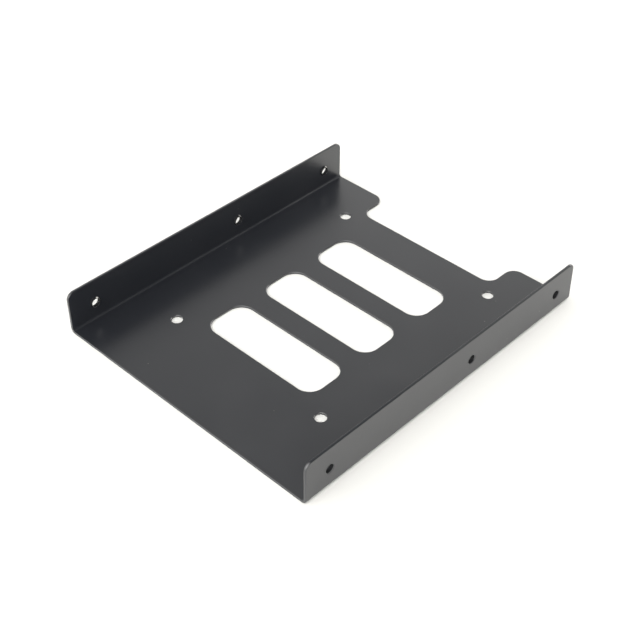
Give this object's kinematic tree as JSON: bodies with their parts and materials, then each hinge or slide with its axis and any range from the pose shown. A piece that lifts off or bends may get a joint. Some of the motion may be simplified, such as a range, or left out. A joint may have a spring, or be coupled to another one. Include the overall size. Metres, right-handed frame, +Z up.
{
  "type": "drive bay adapter bracket",
  "caption": "Folded steel tray with upright flanges that carries a small drive on its deck and is screwed into a larger drive bay.",
  "frame": {"origin": "middle of the underside of the deck, at the bottom centre of the bounding box", "axes": "+Z up from the deck towards the flange tops, +Y along the folds towards the notched end, +X across the deck"},
  "size_m": [0.1004, 0.1194, 0.0149],
  "materials": {
    "black_painted_steel": "satin"
  },
  "bodies": {
    "root": {"bracket": "black_painted_steel"}
  },
  "joints": []
}
